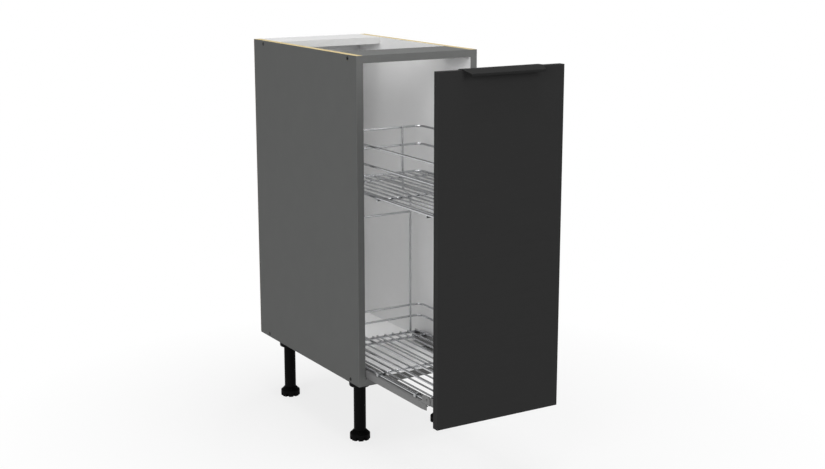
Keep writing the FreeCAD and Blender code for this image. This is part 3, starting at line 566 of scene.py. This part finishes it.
side_board = melamine_board("melamine_side_board", GREY, WHITE, 0, "side_panel_right")
bottom_board = melamine_board("melamine_bottom_board", WHITE, GREY, 2, "bottom_panel")
grey_rail_board = melamine_board("melamine_grey_rail", GREY, GREY, 2, "front_top_rail")
white_rail_board_painted_shade = melamine_board("melamine_white_rail_painted_shade", RAIL_WHITE_PAINTED_SHADE, RAIL_WHITE_PAINTED_SHADE, 2, "rear_top_rail")
hardboard = lacquered_hardboard()
grey_band = edge_tape("abs_grey_edge_tape", "#646564", "#696a69")
white_band = edge_tape("abs_white_edge_tape", "#cececd", "#d3d3d2")
laminate = charcoal_laminate()
handle_coat = powder_coat("black_powder_coat", "#1d1d1d", "#222222", 0.6, 0.07)
runner_coat = powder_coat("grey_epoxy_coat", "#6d6d6d", "#747474", 0.4, 0.4)
leg_plastic = moulded_plastic("black_polypropylene", "#0b0b0b", "#101010", 0.5, 0.03)
roller_plastic = moulded_plastic("natural_nylon", "#d6d5cf", "#e2e1dc", 0.4, 0.5)
chrome = plated_metal("chrome_plated_wire", "#bcbdbf", "#c8c9cb", 0.22, 15)
zinc = plated_metal("zinc_plated_steel", "#a3a5a6", "#b4b6b7", 0.32, 2)
dark_screw = plated_metal("black_zinc_screw", "#1d1d1e", "#2a2a2b", 0.4, 2)


def dress(material, *names):
    """Gives a material to CAD nodes that keep their own shape."""
    for name in names:
        slots = nodes[name].data.materials
        slots.clear()
        slots.append(material)


dress(side_board, "side_panel_left", "side_panel_right")
dress(bottom_board, "bottom_panel")
dress(grey_rail_board, "front_top_rail")
dress(white_rail_board_painted_shade, "rear_top_rail")
dress(white_band, "rear_rail_band")
dress(hardboard, "back_panel")
dress(grey_band, "edge_bands")
dress(laminate, "front_panel")
dress(dark_screw, "carcass_screws")
dress(leg_plastic, "end_stops")
dress(zinc, "back_screws", "leg_screws", "rail_screws", "roller_pins", "saddle_clips", "clip_rivets",
      "bracket_rivets", "front_screws", "handle_screws")
for hand in SIDES:
    dress(runner_coat, "fixed_runner_" + hand, "lower_bracket_" + hand, "upper_bracket_" + hand)
    for end in ENDS:
        dress(roller_plastic, end + "_roller_" + hand)
        dress(leg_plastic, "leg_tube_%s_%s" % (end, hand))


# Handle, runners, feet and sockets

make_piece("folded_handle", folded_handle("handle"), handle_coat, "pullout",
           ["handle"], HANDLE_SHEET)
for hand, side in SIDES.items():
    node = "moving_runner_" + hand
    make_piece(node + "_sheet", folded_runner(node, side), runner_coat, "pullout",
               [node], RUNNER_SHEET)
    for end in ENDS:
        node = "leg_foot_%s_%s" % (end, hand)
        make_piece(node + "_moulding", turned_foot(node), leg_plastic, node, [node])
        node = "leg_socket_%s_%s" % (end, hand)
        collar = turned_socket(node, "leg_tube_%s_%s" % (end, hand))
        make_piece(node + "_moulding", collar, leg_plastic, "cabinet", [node])


# Baskets and their wire frame


def hang_wire(node, surface):
    """A bright wire that takes the place of a CAD node of the baskets."""
    make_piece(node + "_wire", surface, chrome, "pullout", [node])


floor_half = FLOOR_GAP / 2 + FLOOR_STEP * np.arange(FLOOR_RODS_PER_SIDE)
floor_xs = np.concatenate([-floor_half[::-1], floor_half])
front_xs, rear_low_xs, rear_high_xs = [], [], []
for hand, side in SIDES.items():
    node = "front_upright_" + hand
    low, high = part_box(node)
    upright_radius = (high[0] - low[0]) / 2
    x, y = low[0] + upright_radius, low[1] + upright_radius
    front_xs.append(x)
    hang_wire(node, standing_rod([(x, y, low[2]), (x, y, high[2])], upright_radius))
    # The rear uprights are of the same wire, and jog inwards under the upper basket
    node = "rear_upright_" + hand
    low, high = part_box(node)
    outer, inner = max(abs(low[0]), abs(high[0])), min(abs(low[0]), abs(high[0]))
    far, near = side * (outer - upright_radius), side * (inner + upright_radius)
    y = low[1] + upright_radius
    rear_low_xs.append(far)
    rear_high_xs.append(near)
    bends = [(far, y, low[2]), (far, y, JOG_LOW), (near, y, JOG_HIGH), (near, y, high[2])]
    hang_wire(node, standing_rod(bends, upright_radius))
low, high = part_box("rear_crossbar")
hang_wire("rear_crossbar", straight_rods("rear_crossbar", [(low[1] + high[1]) / 2], 0))

for basket, rear_xs in (("lower", rear_low_xs), ("upper", rear_high_xs)):
    upright_welds = []
    for part in ("frame", "mid_rail", "top_rail"):
        node = basket + "_" + part
        hang_wire(node, wire_loop(node))
        low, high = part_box(node)
        wire, z = high[2] - low[2], (low[2] + high[2]) / 2
        upright_welds += [(x, low[1] + wire, z) for x in front_xs]
        upright_welds += [(x, high[1] - wire, z) for x in rear_xs]
    low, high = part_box(basket + "_cross_rods")
    radius = (high[2] - low[2]) / 2
    cross_ys = np.linspace(low[1] + radius, high[1] - radius, CROSS_RODS)
    hang_wire(basket + "_cross_rods", straight_rods(basket + "_cross_rods", cross_ys, 0))
    hang_wire(basket + "_floor_rods", straight_rods(basket + "_floor_rods", floor_xs, 1))
    floor_welds = [(x, y, high[2]) for x in floor_xs for y in cross_ys]
    beads = gather(weld_beads(floor_welds, BEAD_FLAT), weld_beads(upright_welds, BEAD_UPRIGHT))
    make_piece(basket + "_weld_beads", beads, chrome, "pullout")


# Floor, light and camera


def studio_sweep():
    """A round floor whose edge sweeps up: a profile of radius and height, level and then a quarter
    circle, turned about Z."""
    turn = np.linspace(0, np.pi / 2, SWEEP_POINTS)
    reach, rise = SWEEP_RADIUS + SWEEP_RISE * np.sin(turn), SWEEP_RISE * (1 - np.cos(turn))
    line = np.concatenate([[(0.0, 0.0)], np.stack([reach, rise], -1)])
    angle = np.linspace(0, 2 * np.pi, SWEEP_SIDES, endpoint=False)
    return stack_grids(turned((0.0, 0.0), line[:, :1], line[:, 1:], angle)[None], False, True)


def studio_paper():
    """White paper that keeps a soft shadow near the cabinet. Seen by the camera, or in metal or glass,
    it goes over to plain white further out."""
    material, tree, shader, place = start_material("white_studio_paper")
    shader.inputs["Base Color"].default_value = linear("#d0d0d0")
    shader.inputs["Roughness"].default_value = 0.9
    shader.inputs["Specular IOR Level"].default_value = 0.0
    distance = add(tree, "ShaderNodeVectorMath", {0: place}, operation="LENGTH").outputs["Value"]
    fade = {"Value": distance, "From Min": SHADOW_NEAR, "From Max": SHADOW_FAR,
            "To Min": WHITE_NEAR, "To Max": 1.0}
    share = add(tree, "ShaderNodeMapRange", fade).outputs[0]
    rays = add(tree, "ShaderNodeLightPath").outputs
    seen = rays["Is Camera Ray"]
    for kind in ("Is Glossy Ray", "Is Transmission Ray"):
        seen = add(tree, "ShaderNodeMath", {0: seen, 1: rays[kind]}, operation="MAXIMUM").outputs[0]
    share = add(tree, "ShaderNodeMath", {0: share, 1: seen}, operation="MULTIPLY").outputs[0]
    glow = add(tree, "ShaderNodeEmission", {"Color": (1.0, 1.0, 1.0, 1.0), "Strength": 1.0})
    blend = add(tree, "ShaderNodeMixShader", {0: share, 1: shader.outputs[0], 2: glow.outputs[0]})
    tree.links.new(blend.outputs[0], tree.nodes["Material Output"].inputs["Surface"])
    return material


points, quads = studio_sweep()
floor_mesh = bpy.data.meshes.new("studio_floor")
floor_mesh.from_pydata(points.tolist(), [], quads.tolist())
floor_mesh.materials.append(studio_paper())
floor = bpy.data.objects.new("studio_floor", floor_mesh)
bpy.context.scene.collection.objects.link(floor)
floor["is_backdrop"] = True

# Above the sweep the room is plain and dim: the wires mirror it, and stand out from the white boards
world = bpy.data.worlds.new("dim_studio")
bpy.context.scene.world = world
world.use_nodes = True
world_tree = world.node_tree
world_tree.nodes.clear()
sky = add(world_tree, "ShaderNodeBackground", {"Color": (1.0, 1.0, 1.0, 1.0), "Strength": ROOM_LEVEL})
add(world_tree, "ShaderNodeOutputWorld", {0: sky.outputs[0]})


def soft_lamp(name, place, target, size, power):
    """A square area lamp that faces a point."""
    lamp = bpy.data.lights.new(name, "AREA")
    lamp.size = size
    lamp.energy = power
    holder = bpy.data.objects.new(name, lamp)
    bpy.context.scene.collection.objects.link(holder)
    holder.location = place
    aim = Vector(target) - Vector(place)
    holder.rotation_euler = aim.to_track_quat("-Z", "Y").to_euler()


soft_lamp("overhead_lamp", place=(0.1, -0.1, 3.4), target=(0, 0, 0.5), size=2.2, power=88)
soft_lamp("front_lamp", place=(0.7, -3.8, 2.0), target=(0, 0, 0.45), size=1.8, power=54)
soft_lamp("left_lamp", place=(-3.3, -1.9, 1.7), target=(0, 0, 0.45), size=1.8, power=60)

camera = bpy.data.cameras.new("photo_camera")
camera.lens = CAMERA_LENS
camera.sensor_width = CAMERA_SENSOR
eye = bpy.data.objects.new("photo_camera", camera)
bpy.context.scene.collection.objects.link(eye)
eye.location = CAMERA_PLACE
eye.rotation_euler = (math.radians(90 - CAMERA_DIP), 0.0, math.radians(-CAMERA_TURN))
bpy.context.scene.camera = eye
bpy.context.scene.view_settings.view_transform = "Standard"

low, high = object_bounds()
